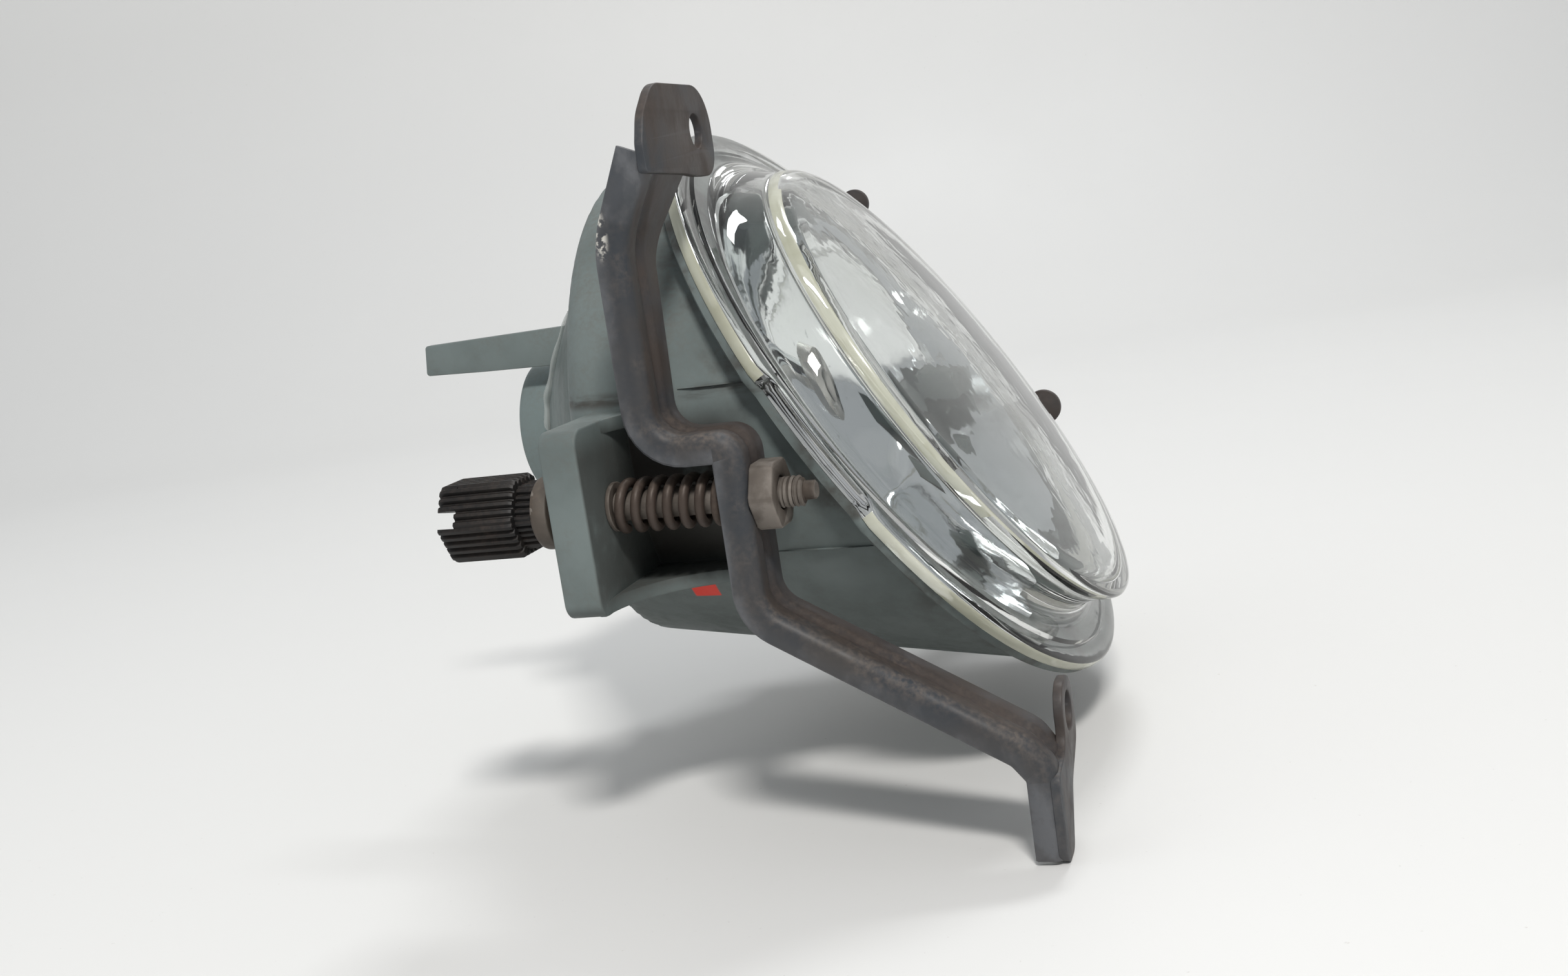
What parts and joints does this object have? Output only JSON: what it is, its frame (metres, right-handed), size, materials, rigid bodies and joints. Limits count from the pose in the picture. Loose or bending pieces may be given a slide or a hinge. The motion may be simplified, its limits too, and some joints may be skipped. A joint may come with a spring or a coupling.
{
  "type": "fog light",
  "caption": "Round front fog light with a swept clear lens, a screw-and-spring aim adjuster, a pressed adjuster bracket and a pivot bracket.",
  "frame": {"origin": "centre of the adjuster bracket's upper bolt hole, on the bracket sheet's front face", "axes": "+X along the lamp's optical axis, out of the lens, and out of the upper bolt hole; +Y from the adjuster side to the pivot side; +Z across the swept face, parallel to the aim pivot pin. On a car +X points ahead and Z lies level across the car, so the aim pivot tilts the beam up and down."},
  "size_m": [0.1648, 0.1838, 0.1543],
  "materials": {
    "painted_steel": "worn black paint over pressed steel, dusty",
    "zinc_steel": "dull zinc plate with brown road dust",
    "housing_plastic": "matt blue-grey moulded polypropylene",
    "clear_lens": "clear polycarbonate, slightly yellow at its edges",
    "mirror_coat": "vacuum-metallised reflector lacquer",
    "black_plastic": "black glass-filled nylon, satin",
    "seal_rubber": "soft black rubber",
    "bulb_glass": "clear quartz glass",
    "tungsten": "bare wire",
    "brass_contact": "tinned brass",
    "bush_nylon": "natural nylon"
  },
  "bodies": {
    "bracket": {"adjuster_bracket": "painted_steel", "adjuster_nut": "zinc_steel", "pivot_bracket": "painted_steel", "pivot_pin": "zinc_steel", "pivot_clip": "zinc_steel"},
    "lamp": {"housing": "housing_plastic", "lens": "clear_lens", "lens_seal": "seal_rubber", "reflector": "mirror_coat", "glare_shield": "zinc_steel", "shield_rivets": "zinc_steel", "bulb_flange": "zinc_steel", "bulb_base": "zinc_steel", "bulb_glass": "bulb_glass", "bulb_filament": "tungsten", "bulb_clip": "zinc_steel", "clip_screw": "zinc_steel", "vent_cap": "seal_rubber", "pivot_bushes": "bush_nylon", "ear_washer": "zinc_steel", "aim_spring": "zinc_steel", "cap_seal": "seal_rubber"},
    "adjuster": {"adjuster_knob": "black_plastic", "adjuster_collar": "zinc_steel", "adjuster_screw": "zinc_steel", "screw_retainer": "zinc_steel"},
    "bulb_cap": {"rear_cap": "housing_plastic", "contact_blades": "brass_contact", "connector_pins": "brass_contact"}
  },
  "joints": [
    {"name": "aim_tilt", "type": "hinge", "parent": "bracket", "child": "lamp", "pos_m": [0.0115, 0.1383, -0.0843], "axis": [0, 0, 1], "range_deg": [-1.07, 2.14], "deforming": ["aim_spring"]},
    {"name": "adjuster_spin", "type": "hinge", "parent": "lamp", "child": "adjuster", "pos_m": [-0.029, -0.0222, -0.0711], "axis": [1, 0, 0], "range_deg": [-1080, 2160]},
    {"name": "cap_twist", "type": "hinge", "parent": "lamp", "child": "bulb_cap", "pos_m": [-0.06905, 0.0593, -0.0643], "axis": [1, 0, 0], "range_deg": [0, 30]}
  ],
  "couplings": [
    {"joint": "adjuster_spin", "follows": "aim_tilt", "ratio": 1008.5}
  ]
}
